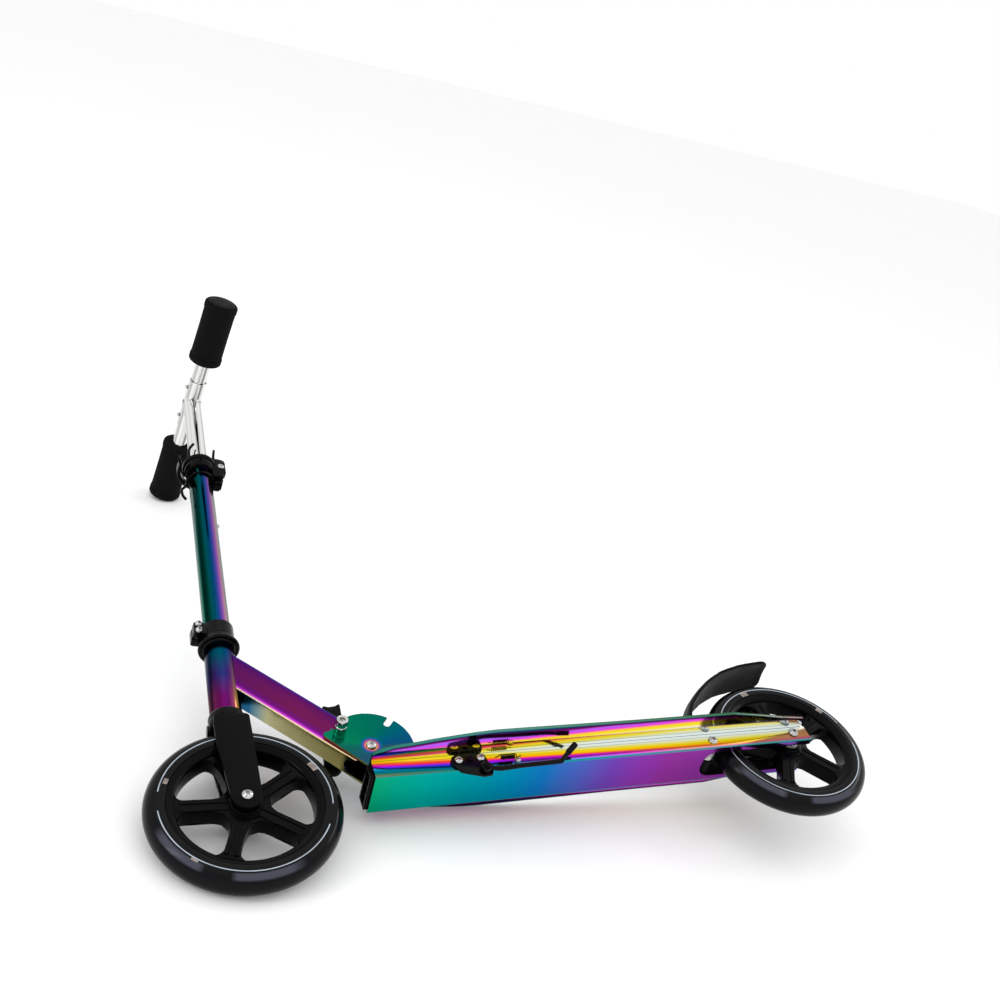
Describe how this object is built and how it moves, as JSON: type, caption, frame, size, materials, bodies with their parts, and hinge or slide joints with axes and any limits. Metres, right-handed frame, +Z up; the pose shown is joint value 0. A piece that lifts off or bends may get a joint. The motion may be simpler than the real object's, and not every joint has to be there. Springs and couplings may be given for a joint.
{
  "type": "folding kick scooter",
  "caption": "Folding kick scooter with big spoked wheels, a rainbow-coated deck and column, foam grips, a rear fender brake and a side stand, lying on its right side.",
  "frame": {"origin": "the middle of the bounding box, on the ground the scooter lies on", "axes": "+Z up; the scooter lies on its right side with its nose towards -X, its floor side towards -Y and its handlebar towards +Y; the rider's left is up"},
  "size_m": [0.8566, 0.9148, 0.3412],
  "materials": {
    "anodised_deck": "mirror-polished rainbow coating",
    "anodised_steel": "mirror-polished rainbow coating",
    "chrome": "polished",
    "bright_tube": "polished",
    "black_plastic": "satin",
    "black_paint": "satin black",
    "black_aluminium": "satin black",
    "tyre": "glossy smoked polyurethane",
    "foam": "fine-celled foam",
    "grip_tape": "sandpaper",
    "steel": "ground"
  },
  "bodies": {
    "deck": {"deck_channel": "anodised_deck", "foot_plate": "anodised_deck", "grip_tape": "grip_tape", "deck_front_cap": "black_plastic", "fold_bracket": "anodised_steel", "fold_pivot": "chrome", "rear_axle_bolt": "chrome", "rear_axle_nut": "chrome", "rear_spacer_left": "steel", "rear_spacer_right": "steel", "brake_pivot": "chrome", "brake_spring": "chrome", "kickstand_bracket": "black_paint", "kickstand_bolt_front": "chrome", "kickstand_bolt_rear": "chrome", "kickstand_stop": "chrome", "kickstand_pin": "black_paint", "kickstand_spring": "black_paint"},
    "rear_wheel": {"rear_wheel_core": "black_plastic", "rear_tyre": "tyre", "rear_bearing_left": "steel", "rear_bearing_right": "steel"},
    "brake": {"fender_brake": "black_plastic"},
    "stand_leg": {"kickstand_leg": "black_paint"},
    "neck": {"neck": "anodised_steel", "lock_barrel": "chrome", "headset_lower_cup": "black_plastic", "headset_upper_cup": "black_plastic", "head_bearing_lower": "steel", "head_bearing_upper": "steel"},
    "lock_lever": {"fold_lever": "black_plastic"},
    "steering": {"fork": "black_paint", "front_axle_bolt": "chrome", "front_axle_nut": "chrome", "front_spacer_left": "steel", "front_spacer_right": "steel", "column": "anodised_deck", "column_collar": "black_aluminium", "collar_bolt_lower": "chrome", "collar_bolt_upper": "chrome", "top_clamp": "black_plastic", "clamp_bolt": "chrome", "grip_clip": "black_plastic"},
    "front_wheel": {"front_wheel_core": "black_plastic", "front_tyre": "tyre", "front_bearing_left": "steel", "front_bearing_right": "steel"},
    "clamp_lever": {"clamp_lever": "black_plastic"},
    "height_button": {"height_button": "chrome"},
    "post": {"inner_post": "bright_tube"},
    "button_left": {"handle_button_left": "chrome"},
    "button_right": {"handle_button_right": "chrome"},
    "handle_left": {"handle_tube_left": "bright_tube", "grip_left": "foam", "end_cap_left": "black_plastic"},
    "handle_right": {"handle_tube_right": "bright_tube", "grip_right": "foam", "end_cap_right": "black_plastic"}
  },
  "joints": [
    {"name": "rear_wheel_spin", "type": "hinge", "parent": "deck", "child": "rear_wheel", "pos_m": [0.32834, -0.34335, 0.08942], "axis": [-0.0819, -0.1752, 0.9811], "continuous": true},
    {"name": "brake_press", "type": "hinge", "parent": "deck", "child": "brake", "pos_m": [0.21506, -0.34463, 0.07974], "axis": [0.0819, 0.1752, -0.9811], "range_deg": [0, 6], "stiffness_Nm_per_rad": 6},
    {"name": "stand_swing", "type": "hinge", "parent": "deck", "child": "stand_leg", "pos_m": [-0.0788, -0.36606, 0.08615], "axis": [0.0819, 0.1752, -0.9811], "range_deg": [0, 58]},
    {"name": "fold", "type": "hinge", "parent": "deck", "child": "neck", "pos_m": [-0.18649, -0.30121, 0.05398], "axis": [0.0819, 0.1752, -0.9811], "range_deg": [0, 88]},
    {"name": "lock_release", "type": "hinge", "parent": "neck", "child": "lock_lever", "pos_m": [-0.21561, -0.27565, 0.05612], "axis": [-0.0819, -0.1752, 0.9811], "range_deg": [0, 25]},
    {"name": "steer", "type": "hinge", "parent": "neck", "child": "steering", "pos_m": [-0.33693, -0.35802, 0.03129], "axis": [0.0505, 0.9824, 0.1796], "continuous": true},
    {"name": "front_wheel_spin", "type": "hinge", "parent": "steering", "child": "front_wheel", "pos_m": [-0.32847, -0.35856, 0.03189], "axis": [-0.0819, -0.1752, 0.9811], "continuous": true},
    {"name": "clamp_release", "type": "hinge", "parent": "steering", "child": "clamp_lever", "pos_m": [-0.28176, 0.23189, 0.11854], "axis": [-0.0505, -0.9824, -0.1796], "range_deg": [0, 70]},
    {"name": "height_button_press", "type": "slide", "parent": "steering", "child": "height_button", "axis": [-0.9958, 0.0357, 0.0845], "range_m": [0, 0.0015], "stiffness_N_per_m": 600},
    {"name": "height", "type": "slide", "parent": "steering", "child": "post", "axis": [0.0505, 0.9824, 0.1796], "range_m": [-0.09, 0.1]},
    {"name": "button_press_left", "type": "slide", "parent": "post", "child": "button_left", "axis": [0.9958, -0.0357, -0.0845], "range_m": [0, 0.0015], "stiffness_N_per_m": 600},
    {"name": "button_press_right", "type": "slide", "parent": "post", "child": "button_right", "axis": [0.9958, -0.0357, -0.0845], "range_m": [0, 0.0015], "stiffness_N_per_m": 600},
    {"name": "pull_off_left", "type": "slide", "parent": "post", "child": "handle_left", "axis": [0.0766, -0.1831, 0.9801], "range_m": [0, 0.033]},
    {"name": "pull_off_right", "type": "slide", "parent": "post", "child": "handle_right", "axis": [-0.0766, 0.1831, -0.9801], "range_m": [0, 0.033]}
  ]
}
